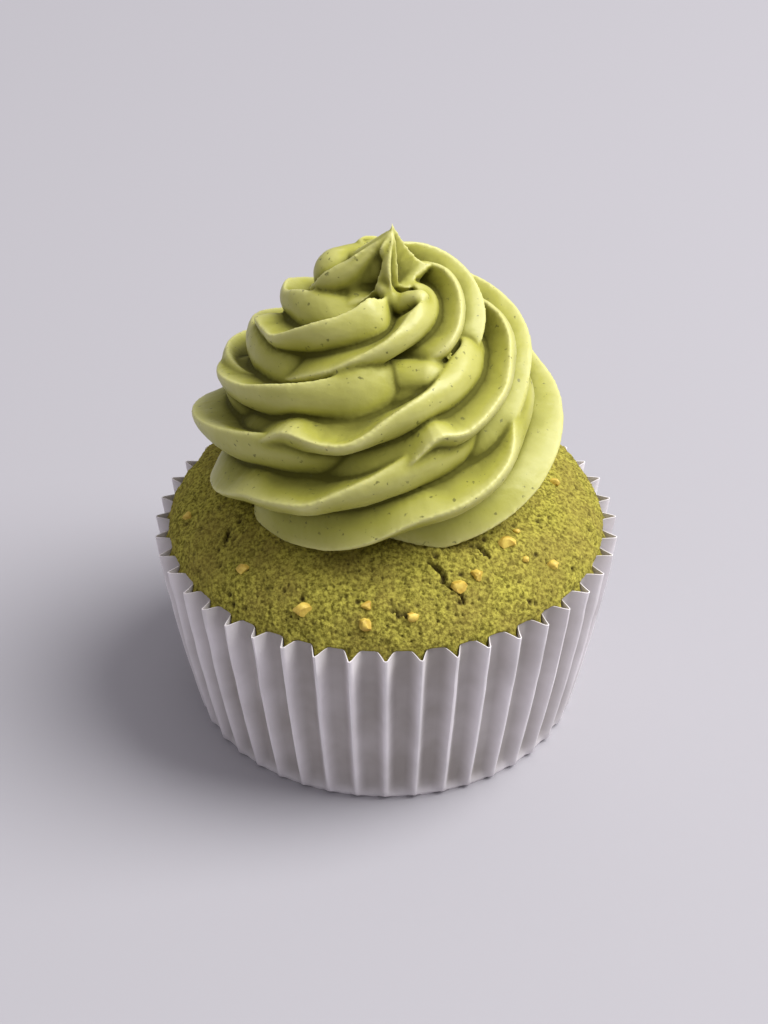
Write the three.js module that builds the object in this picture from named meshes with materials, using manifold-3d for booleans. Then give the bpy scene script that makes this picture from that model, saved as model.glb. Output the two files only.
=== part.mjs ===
// Cupcake in a fluted paper case: a domed sponge with chopped nuts, under a piped swirl of icing.
// Millimetres, +Z up, the table at Z = 0 under the middle of the case, and the front towards -Y.
import * as THREE from 'three';
import { mergeVertices } from 'three/addons/utils/BufferGeometryUtils.js';
import Module from 'manifold-3d';

const wasm = await Module();
wasm.setup();

// Least gap that separate pieces keep to each other, the wider ones between the sponge and the paper's
// pleats and between the sponge and the icing, and the distance under which points are one
const GAP = 0.3;
const SIDE_GAP = 0.36;
const SEAT_GAP = 0.45;
const WELD = 1e-3;

// Paper case: radii are those of the outer folds
const CASE_HEIGHT = 28.5;
const CASE_BASE_RADIUS = 26.8;
const CASE_RIM_RADIUS = 32.5;
const CASE_BULGE = 0.4;
const CASE_PAPER = 0.35;
const CASE_FLOOR = 0.4;
const CASE_FOOT_ROUND = 0.7;
const PLEATS = 43;
const PLEAT_DEPTH_FOOT = 1.3;
const PLEAT_DEPTH_RIM = 2.5;
// The pleats fade out between these heights, so that the foot of the case is nearly round
const PLEAT_FADE_START = -0.5;
const PLEAT_FADE_END = 3.5;
// Azimuths of a pleat's four creases, as shares of its pitch: a narrow outer fold, a wide inner one
const CREASES = [-0.12, 0.12, 0.34, 0.66];
const CASE_LEVELS = [CASE_FOOT_ROUND, PLEAT_FADE_END, 11.8, 20.2, CASE_HEIGHT];

// Sponge: the dome is half an ellipsoid about a point a little below the rim
const DOME_CENTRE = 26.3;
const DOME_RADIUS = 30.8;
const DOME_RISE = 14.4;
const SPONGE_SIDES = 96;
const SPONGE_LEVELS = [PLEAT_FADE_END, 11.8, 20.2, CASE_HEIGHT + GAP];
const DOME_RINGS = 13;
const DOME_RING_CROWDING = 1.3;
const ICED_RADIUS = 20.5;
const CRUMB_FADE = 3;
const CRUMB_RIM_FADE = 1.5;
// Crumb lumps: height, turns a millimetre towards X and Y of two waves, and where the waves start
const CRUMB_LUMPS = [
  { height: 0.18, first: [0.71, 0, 1.3], second: [0, 0.63, -0.4] },
  { height: 0.1, first: [1.37, -0.9, 0], second: [0.5, 1.19, 1.57] },
  { height: 0.14, first: [2.7, 1.1, 0], second: [-1.7, 2.3, 0] },
];

// Cracks in the dome, each a chain of [azimuth, distance from the axis] from the front, anticlockwise
const CRACK_WIDTH = 0.75;
const CRACK_TIP_WIDTH = 0.19;
const CRACK_DEPTH = 1.3;
const CRACK_CUT_HEIGHT = 3.9;
const CRACKS = [
  [[19, 21.8], [21, 23.6], [20, 25.2], [24, 26.8], [26, 28]],
  [[29, 22.6], [35, 22.2], [40, 23.2], [44, 22.6]],
  [[-1, 26.6], [3, 27.4], [8, 27]],
  [[-62, 23.6], [-57, 25.2], [-58, 26.6]],
  [[118, 22.6], [124, 24.2], [122, 26.4]],
  [[196, 23], [203, 24.6], [201, 27]],
];

// Chopped nuts: [azimuth, distance from the axis, size]
const NUT_SINK = 0.3;
const NUTS = [
  [-80, 27.8, 1.7], [-46, 26.7, 1.5], [-23, 28.1, 1.6], [-5, 27.2, 1.7], [7, 27.9, 1.2], [22, 25.6, 1.7],
  [29, 24.9, 1.5], [45, 22.9, 2.6], [52, 22.3, 1.6], [47, 25.6, 1.5], [54, 27.8, 1.4], [87, 23.4, 1.6],
];
// Nuts strewn round the back: how many, over which azimuths and radii, how large, and how far off an
// even spread
const BACK_NUTS = {
  count: 12, azimuth: 100, sweep: 160, slip: 0.8, radius: 23, band: 5, size: 1.2, more: 0.7,
};
const NUT_SEED = 7;
// Length, width and height of a nut as shares of its size, and how much more each may be
const NUT_SHAPE = [{ least: 0.8, more: 0.5 }, { least: 0.7, more: 0.3 }, { least: 0.6, more: 0.3 }];

// Icing: a rope with six ridges, coiled from the rim of the dome up to a drawn-out peak.
// Each station gives the turns made, the coil's radius, the rope's height and the rope's radius.
const ROPE_START = -200;
const ROPE_STATIONS = [
  { turns: 0, reach: 13.5, height: 43.5, rope: 6 },
  { turns: 0.12, reach: 17.4, height: 44.6, rope: 9 },
  { turns: 0.5, reach: 15.8, height: 45.2, rope: 9.8 },
  { turns: 1, reach: 14.2, height: 47.6, rope: 9.3 },
  { turns: 1.5, reach: 14.3, height: 53, rope: 8.3 },
  { turns: 2, reach: 12, height: 56, rope: 7.3 },
  { turns: 2.5, reach: 8, height: 60.5, rope: 7.4 },
  { turns: 3, reach: 6.1, height: 63.9, rope: 5.9 },
  { turns: 3.3, reach: 4, height: 65.8, rope: 5.8 },
  { turns: 3.5, reach: 1.4, height: 71.8, rope: 2.3 },
  { turns: 3.7, reach: 0.9, height: 74.8, rope: 0.4 },
];
const ROPE_RIDGES = 6;
const RIDGE_TURN = -17.5;
const GROOVE_DEPTH = 0.4;
// A groove is deepest at this share of the way up from one ridge to the next
const GROOVE_SHARE = 0.42;
const BELLY_POWER = 1.5;
const SECTION_POINTS = 4;
const ROPE_STEP = 12;
const PIECE_STEPS = 10;
const TANGENT_TURNS = 0.003;
const SWIRL_HEART = [[15.5, 37], [15.5, 43], [14, 50], [11.5, 56], [7, 60.5], [4, 64], [2, 67]];
const SWIRL_HEART_SIDES = 32;

// Where a ridge was pressed or dragged out of its even course: ridge, azimuth along the coils, how many
// degrees it reaches either way, and how far the ridge is moved outwards and upwards there
const RIDGE_NUDGES = [
  [0, -58, 14, 2, 0.3], [1, 322, 12, -0.3, 1.6], [1, 348, 12, 1.3, -1.4], [0, 377, 12, -0.3, 2.2],
  [5, 436, 22, -1.3, 0], [0, 62, 13, -2, 0], [2, 352, 13, -0.3, 1.4], [2, 618, 12, 0.9, 1.4],
  [0, 712, 24, -3.2, 0.4], [1, 1036, 26, -3.2, -2], [0, 1014, 24, -2.6, -1.8],
];
const NUDGE_WIDTH = 0.65;

// Crests that run up to the tip where the last of the rope was pulled off, each from its foot upwards
// and all in anticlockwise order; the faces between them are hollow
const PEAK_CRESTS = [
  [[3.2, -2.4, 67.6], [0.8, -2.4, 67.7], [-0.5, -2.3, 69.6], [-0.2, -1.9, 71.5], [0.3, -1.3, 73.4],
    [0.8, -0.6, 75.2]],
  [[6, 1.2, 69], [5, 1.4, 69.4], [4, 1.4, 70.2], [2.8, 1, 72], [1.9, 0.5, 73.8], [1.1, -0.1, 75.3]],
  [[3, 5.5, 65.5], [2.6, 4.2, 67.2], [2.2, 3, 69.2], [1.8, 2, 71.4], [1.4, 1.2, 73.4], [1, 0.4, 75.2]],
  [[-5.6, 1.8, 69.8], [-4.6, 1.6, 71.2], [-3.5, 1.3, 72.2], [-2.2, 1, 73], [-0.7, 0.6, 74], [0.6, 0.1, 75.2]],
  [[-6, -2.9, 70.6], [-4.8, -2.4, 71.5], [-3.5, -1.8, 72.5], [-2.1, -1.3, 73.3], [-0.7, -0.9, 74.1],
    [0.5, -0.4, 75.1]],
];
const PEAK_AXIS = [0.9, 0.2];
const PEAK_HOLLOW = 0.16;
const PEAK_FOOT = { share: 0.6, drop: 3 };
const PEAK_TIP = 76.5;

const radians = THREE.MathUtils.degToRad;

// Direction that lies at an azimuth counted anticlockwise from the front
function outward(azimuth) {
  return new THREE.Vector3(Math.sin(radians(azimuth)), -Math.cos(radians(azimuth)), 0);
}

// Even pseudo-random numbers from 0 to 1, the same on each run
function seededDraw(seed) {
  let state = seed;
  return () => {
    state = (state * 16807) % 2147483647;
    return state / 2147483647;
  };
}

// A profile of [radius, height] pairs turned about the vertical axis
function turned(profile, sides) {
  const points = profile.map(([radius, height]) => new THREE.Vector2(radius, height));
  return new THREE.LatheGeometry(points, sides).rotateX(Math.PI / 2);
}

// Moves each vertex of a geometry by a rule
function reshape(geometry, rule) {
  const place = geometry.attributes.position;
  const point = new THREE.Vector3();
  for (let i = 0; i < place.count; i += 1) {
    rule(point.fromBufferAttribute(place, i));
    place.setXYZ(i, point.x, point.y, point.z);
  }
  return geometry;
}

function welded(geometry) {
  geometry.deleteAttribute('normal');
  geometry.deleteAttribute('uv');
  return mergeVertices(geometry, WELD);
}

// Solid for joining and cutting; a shape that its bending turned inside out is turned back
function solid(geometry) {
  const shape = welded(geometry);
  const triVerts = Uint32Array.from(shape.index.array);
  const vertProperties = Float32Array.from(shape.attributes.position.array);
  const made = new wasm.Manifold(new wasm.Mesh({ numProp: 3, vertProperties, triVerts }));
  if (made.volume() > 0) {
    return made;
  }
  for (let i = 0; i < triVerts.length; i += 3) {
    [triVerts[i], triVerts[i + 1]] = [triVerts[i + 1], triVerts[i]];
  }
  return new wasm.Manifold(new wasm.Mesh({ numProp: 3, vertProperties, triVerts }));
}

// Triangles of the largest shell: a hollow that joining has sealed is filled, a loose scrap dropped
function outerShell(triangles, pointCount) {
  const group = Array.from({ length: pointCount }, (_, i) => i);
  const leader = (point) => {
    let top = point;
    while (group[top] !== top) {
      group[top] = group[group[top]];
      top = group[top];
    }
    return top;
  };
  for (let i = 0; i < triangles.length; i += 3) {
    group[leader(triangles[i])] = leader(triangles[i + 1]);
    group[leader(triangles[i + 1])] = leader(triangles[i + 2]);
  }
  const shells = new Map();
  for (let i = 0; i < triangles.length; i += 3) {
    const key = leader(triangles[i]);
    shells.set(key, [...(shells.get(key) ?? []), triangles[i], triangles[i + 1], triangles[i + 2]]);
  }
  return [...shells.values()].sort((a, b) => b.length - a.length)[0];
}

function fromSolid(shape) {
  const { vertProperties, triVerts } = shape.getMesh();
  const geometry = new THREE.BufferGeometry();
  geometry.setAttribute('position', new THREE.BufferAttribute(vertProperties, 3));
  geometry.setIndex(outerShell(triVerts, vertProperties.length / 3));
  return geometry;
}

// A joined solid as one clean shell: welding can pinch off a sliver, so the shell is taken again
function finished(shape) {
  const geometry = fromSolid(solid(fromSolid(shape)));
  geometry.computeVertexNormals();
  return geometry;
}

// Radius of the case's outer folds, and how deep its pleats are, at a height
function foldRadius(height) {
  const share = height / CASE_HEIGHT;
  const bulge = 4 * CASE_BULGE * share * (1 - share);
  return THREE.MathUtils.lerp(CASE_BASE_RADIUS, CASE_RIM_RADIUS, share) + bulge;
}

function pleatDepth(height) {
  const full = THREE.MathUtils.lerp(PLEAT_DEPTH_FOOT, PLEAT_DEPTH_RIM, height / CASE_HEIGHT);
  return full * THREE.MathUtils.smoothstep(height, PLEAT_FADE_START, PLEAT_FADE_END);
}

// Case: a thin wall folded into pleats, one outer fold facing the front
function paperCase() {
  const outside = [[0, 0], [foldRadius(0) - CASE_FOOT_ROUND, 0]];
  const inside = [[0, CASE_FLOOR], [foldRadius(0) - CASE_FOOT_ROUND - CASE_PAPER, CASE_FLOOR]];
  for (const height of CASE_LEVELS) {
    const insideHeight = Math.min(height + CASE_FLOOR, CASE_HEIGHT);
    outside.push([foldRadius(height), height]);
    inside.push([foldRadius(insideHeight) - CASE_PAPER, insideHeight]);
  }
  const shell = turned([...outside, ...inside.reverse()], CREASES.length * PLEATS);
  return reshape(shell, (point) => {
    const radius = Math.hypot(point.x, point.y);
    const spokes = Math.round((Math.atan2(point.x, -point.y) * CREASES.length * PLEATS) / (2 * Math.PI));
    const crease = ((spokes % CREASES.length) + CREASES.length) % CREASES.length;
    const pleat = (spokes - crease) / CREASES.length;
    const azimuth = (360 * (pleat + CREASES[crease])) / PLEATS;
    const depth = crease < 2 || radius < foldRadius(0) / 2 ? 0 : pleatDepth(point.z);
    const height = point.z;
    point.copy(outward(azimuth)).multiplyScalar(radius - depth).setZ(height);
  });
}

function domeHeight(radius) {
  return DOME_CENTRE + DOME_RISE * Math.sqrt(Math.max(0, 1 - (radius / DOME_RADIUS) ** 2));
}

// Height of the crumb's lumps at a place on the dome, none where the icing rests or at the paper's rim
function crumbRelief({ x, y, z }) {
  const rim = CASE_HEIGHT + GAP;
  const open = THREE.MathUtils.smoothstep(Math.hypot(x, y), ICED_RADIUS, ICED_RADIUS + CRUMB_FADE)
    * THREE.MathUtils.smoothstep(z, rim, rim + CRUMB_RIM_FADE);
  const wave = ([alongX, alongY, start]) => Math.sin(alongX * x + alongY * y + start);
  return CRUMB_LUMPS.reduce((sum, lump) => sum + open * lump.height * wave(lump.first) * wave(lump.second), 0);
}

// A crack: a narrow wedge that follows its chain of places down into the dome
function crackWedge(chain) {
  const route = chain.map(([azimuth, radius]) => outward(azimuth).multiplyScalar(radius));
  const side = [];
  const back = [];
  route.forEach((place, i) => {
    const ahead = route[Math.min(i + 1, route.length - 1)].clone().sub(route[Math.max(i - 1, 0)]).normalize();
    const half = (i === 0 || i === route.length - 1 ? CRACK_TIP_WIDTH : CRACK_WIDTH) / 2;
    side.push(new THREE.Vector2(place.x - ahead.y * half, place.y + ahead.x * half));
    back.unshift(new THREE.Vector2(place.x + ahead.y * half, place.y - ahead.x * half));
  });
  const wedge = new THREE.ExtrudeGeometry(new THREE.Shape([...side, ...back]), { depth: 1, bevelEnabled: false });
  return reshape(wedge, (point) => {
    const floor = domeHeight(Math.hypot(point.x, point.y)) - CRACK_DEPTH;
    point.z = floor + CRACK_CUT_HEIGHT * Math.round(point.z);
  });
}

// A chopped nut: a rough lump, partly sunk into the dome
function nut(azimuth, radius, size, draw) {
  const lump = new THREE.IcosahedronGeometry(size / 2, 0);
  const [long, wide, high] = NUT_SHAPE.map(({ least, more }) => least + more * draw());
  lump.scale(long, wide, high).rotateZ(2 * Math.PI * draw());
  const foot = outward(azimuth).multiplyScalar(radius);
  const rise = domeHeight(radius) + size * (high / 2 - NUT_SINK);
  return solid(lump.translate(foot.x, foot.y, rise));
}

// Sponge: a solid that fills the case up to its rim, where the cracked dome swells over the inner folds
function sponge() {
  const insideRadius = (height) => foldRadius(height) - pleatDepth(height) - CASE_PAPER - SIDE_GAP;
  const bottom = CASE_FLOOR + GAP;
  const profile = [[0, bottom], [insideRadius(bottom) - 2 * CASE_FOOT_ROUND, bottom]];
  for (const height of SPONGE_LEVELS) {
    profile.push([insideRadius(height), height]);
  }
  const steepest = Math.asin((CASE_HEIGHT + GAP - DOME_CENTRE) / DOME_RISE);
  for (let ring = 0; ring <= DOME_RINGS; ring += 1) {
    const rise = THREE.MathUtils.lerp(steepest, Math.PI / 2, (ring / DOME_RINGS) ** DOME_RING_CROWDING);
    const radius = ring === DOME_RINGS ? 0 : DOME_RADIUS * Math.cos(rise);
    profile.push([radius, DOME_CENTRE + DOME_RISE * Math.sin(rise)]);
  }
  const body = reshape(turned(profile, SPONGE_SIDES), (point) => {
    point.z += crumbRelief(point);
  });
  const draw = seededDraw(NUT_SEED);
  let cake = solid(body);
  for (const chain of CRACKS) {
    cake = cake.subtract(solid(crackWedge(chain)));
  }
  for (const [azimuth, radius, size] of NUTS) {
    cake = cake.add(nut(azimuth, radius, size, draw));
  }
  const back = BACK_NUTS;
  for (let i = 0; i < back.count; i += 1) {
    const azimuth = back.azimuth + (back.sweep * (i + back.slip * draw())) / back.count;
    cake = cake.add(nut(azimuth, back.radius + back.band * draw(), back.size + back.more * draw(), draw));
  }
  return finished(cake);
}

// Value at a number of turns, on a smooth curve through the rope's stations
function alongRope(turns, key) {
  const last = ROPE_STATIONS.length - 1;
  let i = 0;
  while (i < last - 1 && turns > ROPE_STATIONS[i + 1].turns) {
    i += 1;
  }
  const [from, to] = [ROPE_STATIONS[i], ROPE_STATIONS[i + 1]];
  const before = ROPE_STATIONS[Math.max(i - 1, 0)];
  const after = ROPE_STATIONS[Math.min(i + 2, last)];
  const span = to.turns - from.turns;
  const share = (turns - from.turns) / span;
  const leave = ((to[key] - before[key]) / (to.turns - before.turns)) * span;
  const reach = ((after[key] - from[key]) / (after.turns - from.turns)) * span;
  const square = share * share;
  const cube = square * share;
  return (2 * cube - 3 * square + 1) * from[key] + (cube - 2 * square + share) * leave
    + (3 * square - 2 * cube) * to[key] + (cube - square) * reach;
}

// Middle of the rope at a number of turns
function ropeMiddle(turns) {
  const middle = outward(ROPE_START + 360 * turns).multiplyScalar(alongRope(turns, 'reach'));
  middle.z = alongRope(turns, 'height');
  return middle;
}

// Distance from the rope's middle to its skin, as a share of its radius, from a ridge up to the next
function starReach(share) {
  const above = (share - GROOVE_SHARE) / (1 - GROOVE_SHARE);
  const sink = share < GROOVE_SHARE ? 1 - (1 - share / GROOVE_SHARE) ** 2 : (1 - above) ** BELLY_POWER;
  return 1 - GROOVE_DEPTH * sink;
}

// How far the skin is moved at a place round the rope, counted in ridges, and an azimuth along it
function ridgePush(pitch, azimuth) {
  const push = new THREE.Vector3();
  for (const [ridge, middle, reach, out, up] of RIDGE_NUDGES) {
    const turn = THREE.MathUtils.euclideanModulo(pitch - ridge + ROPE_RIDGES / 2, ROPE_RIDGES);
    const aside = Math.abs(turn - ROPE_RIDGES / 2);
    const along = Math.exp(-(((azimuth - middle) / reach) ** 2));
    const round = THREE.MathUtils.smoothstep(NUDGE_WIDTH - aside, 0, NUDGE_WIDTH);
    push.addScaledVector(outward(middle).multiplyScalar(out).setZ(up), along * round);
  }
  return push;
}

// One stretch of the rope: a closed cylinder bent along the coil. Its ridges keep their compass
// direction, as those of a nozzle that isn't turned, so they wind once round the rope on each coil.
function ropePiece(fromTurns, toTurns, steps) {
  const around = ROPE_RIDGES * SECTION_POINTS;
  const straight = new THREE.CylinderGeometry(1, 1, 1, around, steps);
  return reshape(straight, (point) => {
    const turns = THREE.MathUtils.lerp(fromTurns, toTurns, point.y + 0.5);
    const azimuth = ROPE_START + 360 * turns;
    const ahead = ropeMiddle(turns + TANGENT_TURNS).sub(ropeMiddle(turns - TANGENT_TURNS)).normalize();
    const out = outward(azimuth);
    out.addScaledVector(ahead, -out.dot(ahead)).normalize();
    const over = new THREE.Vector3().crossVectors(out, ahead);
    const spoke = Math.round((Math.atan2(point.z, point.x) * around) / (2 * Math.PI));
    const share = (((spoke % SECTION_POINTS) + SECTION_POINTS) % SECTION_POINTS) / SECTION_POINTS;
    const angle = radians(azimuth + RIDGE_TURN + (360 * spoke) / around);
    const reach = Math.hypot(point.x, point.z) * alongRope(turns, 'rope') * starReach(share);
    const push = ridgePush(spoke / SECTION_POINTS, azimuth).multiplyScalar(Math.hypot(point.x, point.z));
    point.copy(ropeMiddle(turns)).add(push);
    point.addScaledVector(out, reach * Math.cos(angle)).addScaledVector(over, reach * Math.sin(angle));
  });
}

// The pulled peak: a cylinder whose sides follow the crests and the hollows between them up to the tip
function peak() {
  const around = 2 * PEAK_CRESTS.length;
  const levels = PEAK_CRESTS[0].length;
  const axis = new THREE.Vector3(...PEAK_AXIS, 0);
  const crestAt = (number, level) => {
    const place = new THREE.Vector3(...PEAK_CRESTS[number % PEAK_CRESTS.length][Math.max(level, 0)]);
    if (level < 0) {
      const height = place.z - PEAK_FOOT.drop;
      place.lerpVectors(axis, place, PEAK_FOOT.share).setZ(height);
    }
    return place;
  };
  return reshape(new THREE.CylinderGeometry(1, 1, 1, around, levels), (point) => {
    const level = Math.round((point.y + 0.5) * levels) - 1;
    if (point.x === 0 && point.z === 0) {
      point.set(...PEAK_AXIS, level < 0 ? PEAK_CRESTS[0][0][2] - PEAK_FOOT.drop : PEAK_TIP);
      return;
    }
    const turn = Math.round((Math.atan2(point.z, point.x) * around) / (2 * Math.PI));
    const spoke = THREE.MathUtils.euclideanModulo(turn, around);
    const crest = crestAt(Math.floor(spoke / 2), level);
    if (spoke % 2 === 1) {
      crest.lerp(crestAt(Math.floor(spoke / 2) + 1, level), 0.5);
      crest.lerp(new THREE.Vector3(...PEAK_AXIS, crest.z), PEAK_HOLLOW);
    }
    point.copy(crest);
  });
}

// Icing: stretches of the rope joined with a heart between the coils, cut to sit on the dome
function icing() {
  const wholeTurns = ROPE_STATIONS.at(-1).turns;
  const stepTurns = wholeTurns / Math.round((wholeTurns * 360) / ROPE_STEP);
  const heart = [[0, SWIRL_HEART[0][1]], ...SWIRL_HEART, [0, SWIRL_HEART.at(-1)[1]]];
  let swirl = solid(turned(heart, SWIRL_HEART_SIDES));
  for (let start = 0; start < wholeTurns - stepTurns / 2; start += PIECE_STEPS * stepTurns) {
    const end = Math.min(start + PIECE_STEPS * stepTurns, wholeTurns);
    swirl = swirl.add(solid(ropePiece(start, end, Math.round((end - start) / stepTurns))));
  }
  const seat = [[0, 0], [DOME_RADIUS + SEAT_GAP, 0]];
  for (let ring = 0; ring <= DOME_RINGS; ring += 1) {
    const rise = (Math.PI / 2) * (ring / DOME_RINGS);
    const radius = ring === DOME_RINGS ? 0 : (DOME_RADIUS + SEAT_GAP) * Math.cos(rise);
    seat.push([radius, DOME_CENTRE + (DOME_RISE + SEAT_GAP) * Math.sin(rise)]);
  }
  return finished(swirl.add(solid(peak())).subtract(solid(turned(seat, SPONGE_SIDES / 2))));
}

const paper = new THREE.MeshStandardMaterial({ color: 0xc9c6cf, roughness: 0.7, metalness: 0 });
const crumb = new THREE.MeshStandardMaterial({ color: 0x8f8a3c, roughness: 0.95, metalness: 0 });
const cream = new THREE.MeshStandardMaterial({ color: 0xb3bb66, roughness: 0.5, metalness: 0 });

function named(name, geometry, material) {
  const mesh = new THREE.Mesh(geometry, material);
  mesh.name = name;
  return mesh;
}

const cupcake = new THREE.Group();
cupcake.add(named('paper_case', paperCase(), paper));
cupcake.add(named('sponge', sponge(), crumb));
cupcake.add(named('icing_swirl', icing(), cream));

export default cupcake;
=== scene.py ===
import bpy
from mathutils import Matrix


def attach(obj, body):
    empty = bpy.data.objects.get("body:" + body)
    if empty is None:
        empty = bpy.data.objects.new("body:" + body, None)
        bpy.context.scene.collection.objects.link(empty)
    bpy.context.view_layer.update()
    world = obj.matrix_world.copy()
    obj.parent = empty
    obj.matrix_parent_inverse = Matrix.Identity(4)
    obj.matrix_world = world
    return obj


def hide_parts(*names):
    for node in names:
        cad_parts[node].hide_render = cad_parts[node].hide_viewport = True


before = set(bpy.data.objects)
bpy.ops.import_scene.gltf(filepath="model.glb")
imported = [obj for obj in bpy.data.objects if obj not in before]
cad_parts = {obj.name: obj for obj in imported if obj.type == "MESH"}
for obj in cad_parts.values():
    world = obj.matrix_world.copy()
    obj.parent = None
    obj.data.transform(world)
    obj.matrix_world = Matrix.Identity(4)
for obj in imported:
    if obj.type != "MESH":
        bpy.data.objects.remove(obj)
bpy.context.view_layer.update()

import math
import random

import bmesh
import bpy
from mathutils import Vector, noise

# Studio table
# A smooth sheet of pale lavender-grey board, large enough to be all the background there is. The cake
# stands on it, under a large soft lamp high on the right, and the room gives the rest of the light.
table_reach = 6.0
table_squares = 8
table_grey = (0.402, 0.389, 0.415)
board_roughness = 0.85
room_light = (0.81, 0.79, 0.84)
room_low = 0.25
room_high = 0.82
lamp_place = Vector((0.66, -0.01, 0.94))
lamp_aim = Vector((0.0, 0.0, 0.03))
lamp_side = 0.90
lamp_power = 18.9


def finished_piece(mesh_tool, name, material, smooth_angle=None):
    """A mesh piece with its place in its mesh, in the scene and smooth except at sharp edges."""
    mesh = bpy.data.meshes.new(name)
    mesh_tool.to_mesh(mesh)
    mesh_tool.free()
    mesh.materials.append(material)
    mesh.shade_smooth()
    if smooth_angle is not None:
        mesh.set_sharp_from_angle(angle=math.radians(smooth_angle))
    piece = bpy.data.objects.new(name, mesh)
    bpy.context.scene.collection.objects.link(piece)
    return piece


def principled(name, colour, roughness):
    """A new material, its shader and its node tree."""
    material = bpy.data.materials.new(name)
    material.use_nodes = True
    material.diffuse_color = (*colour, 1)
    shader = material.node_tree.nodes["Principled BSDF"]
    shader.inputs["Base Color"].default_value = (*colour, 1)
    shader.inputs["Roughness"].default_value = roughness
    return material, shader, material.node_tree


board = principled("board", table_grey, board_roughness)[0]
table = bmesh.new()
bmesh.ops.create_grid(table, x_segments=table_squares, y_segments=table_squares, size=table_reach)
table_top = finished_piece(table, "table_top", board)

lamp = bpy.data.lights.new("soft_lamp", "AREA")
lamp.shape = "DISK"
lamp.size = lamp_side
lamp.energy = lamp_power
soft_lamp = bpy.data.objects.new("soft_lamp", lamp)
soft_lamp.location = lamp_place
soft_lamp.rotation_euler = (lamp_aim - lamp_place).to_track_quat("-Z", "Y").to_euler()
bpy.context.scene.collection.objects.link(soft_lamp)

room = bpy.data.worlds.new("room")
room.use_nodes = True
room_tree = room.node_tree
room_shader = room_tree.nodes["Background"]
room_shader.inputs["Color"].default_value = (*room_light, 1)
room_way = room_tree.nodes.new("ShaderNodeTexCoord")
room_axes = room_tree.nodes.new("ShaderNodeSeparateXYZ")
room_rise = room_tree.nodes.new("ShaderNodeMapRange")
room_rise.inputs["To Min"].default_value = room_low
room_rise.inputs["To Max"].default_value = room_high
room_tree.links.new(room_way.outputs["Generated"], room_axes.inputs["Vector"])
room_tree.links.new(room_axes.outputs["Z"], room_rise.inputs["Value"])
room_tree.links.new(room_rise.outputs["Result"], room_shader.inputs["Strength"])
bpy.context.scene.world = room
bpy.context.scene.view_settings.view_transform = "Standard"

# Paper case
# A baking case of thin white greaseproof paper, pressed from a flat round into forty-three pleats.
# Its outer folds are narrow ridges; its inner folds are wide and rounded, and the cake leans on them.
case_height = 28.5
case_base_radius = 26.8
case_rim_radius = 32.5
case_bulge = 0.4
case_foot_round = 0.7
case_paper = 0.13
pleats = 43
steps_a_pleat = 16
case_levels = 26
pleat_depth_foot = 1.3
pleat_depth_rim = 2.5
pleat_foot_start = -0.5
pleat_foot_height = 2.2
outer_fold = 0.05
inner_fold = 0.36
fold_power = 1.7
wall_sway = 0.22
wall_lean = 0.6
sway_fineness = 0.09
dent_depth = 0.3
dent_fineness = (0.35, 0.22)
rim_power = 4
crease_angle = 60
paper_draw = random.Random(11)
pleat_slips = [paper_draw.uniform(-0.05, 0.05) for _ in range(pleats)]
pleat_depths = [paper_draw.uniform(0.88, 1.1) for _ in range(pleats)]
pleat_tops = [paper_draw.uniform(-0.35, 0.0) for _ in range(pleats)]

paper_white = (0.66, 0.63, 0.66)
# Paper white on the outer folds, and a darker, warmer painted shade for the inner folds
paper_crease = (1.0, 0.955, 0.98)
paper_shade_colour = (0.47, 0.43, 0.405)
paper_roughness = 0.62
paper_glow_share = 0.18
pleat_shade_share = 0.8
soak_spot_size = 9
millimetre = 0.001


def eased(value, start, end):
    """0 before start, 1 after end, and a smooth step between."""
    share = min(max((value - start) / (end - start), 0.0), 1.0)
    return share * share * (3 - 2 * share)


def azimuth_of(place):
    """Azimuth in degrees, counted anticlockwise from the front."""
    return math.degrees(math.atan2(place.x, -place.y))


def outward(azimuth):
    """Direction that lies at an azimuth."""
    turn = math.radians(azimuth)
    return Vector((math.sin(turn), -math.cos(turn), 0.0))


def fold_radius(height):
    """Radius of the case's outer folds at a height."""
    share = height / case_height
    bulge = 4 * case_bulge * share * (1 - share)
    return case_base_radius + (case_rim_radius - case_base_radius) * share + bulge


def pleat_depth(height):
    """How deep the pleats are at a height."""
    full = pleat_depth_foot + (pleat_depth_rim - pleat_depth_foot) * height / case_height
    return full * eased(height, pleat_foot_start, pleat_foot_height)


def pleat_share(azimuth):
    """The pleat at an azimuth, how far off its middle that is, and how far in the paper lies, 0 to 1."""
    turn = azimuth / 360 * pleats
    middle = round(turn)
    pleat = middle % pleats
    away = abs(turn - middle - pleat_slips[pleat] * (1 - 4 * (turn - middle) ** 2))
    slope = min(max((away - outer_fold) / (inner_fold - outer_fold), 0.0), 1.0)
    return pleat, away, 1 - (1 - slope) ** fold_power


def pleat_radius(azimuth, height):
    """Radius of the paper's outer face at an azimuth and a height."""
    pleat, away, fold = pleat_share(azimuth)
    depth = pleat_depth(height) * (1 + (pleat_depths[pleat] - 1) * (1 - 2 * away))
    share = height / case_height
    place = outward(azimuth) * case_rim_radius
    sway = wall_sway * share * (noise.noise(place * sway_fineness) - wall_lean)
    along, up = dent_fineness
    dents = dent_depth * share * noise.noise(Vector((place.x * along, place.y * along, height * up)))
    return fold_radius(height) - depth * fold + sway + min(dents, 0.0)


def in_metres(mesh_tool):
    """Shrinks a mesh that was made in millimetres to the metres of the scene."""
    bmesh.ops.scale(mesh_tool, vec=(millimetre, millimetre, millimetre), verts=mesh_tool.verts)


def node_group(name, numbers, result, result_kind):
    """A new node group that takes numbers and gives one result."""
    group = bpy.data.node_groups.new(name, "ShaderNodeTree")
    for number in numbers:
        group.interface.new_socket(number, in_out="INPUT", socket_type="NodeSocketFloat")
    group.interface.new_socket(result, in_out="OUTPUT", socket_type=result_kind)
    return group, group.nodes.new("NodeGroupInput"), group.nodes.new("NodeGroupOutput")


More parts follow.
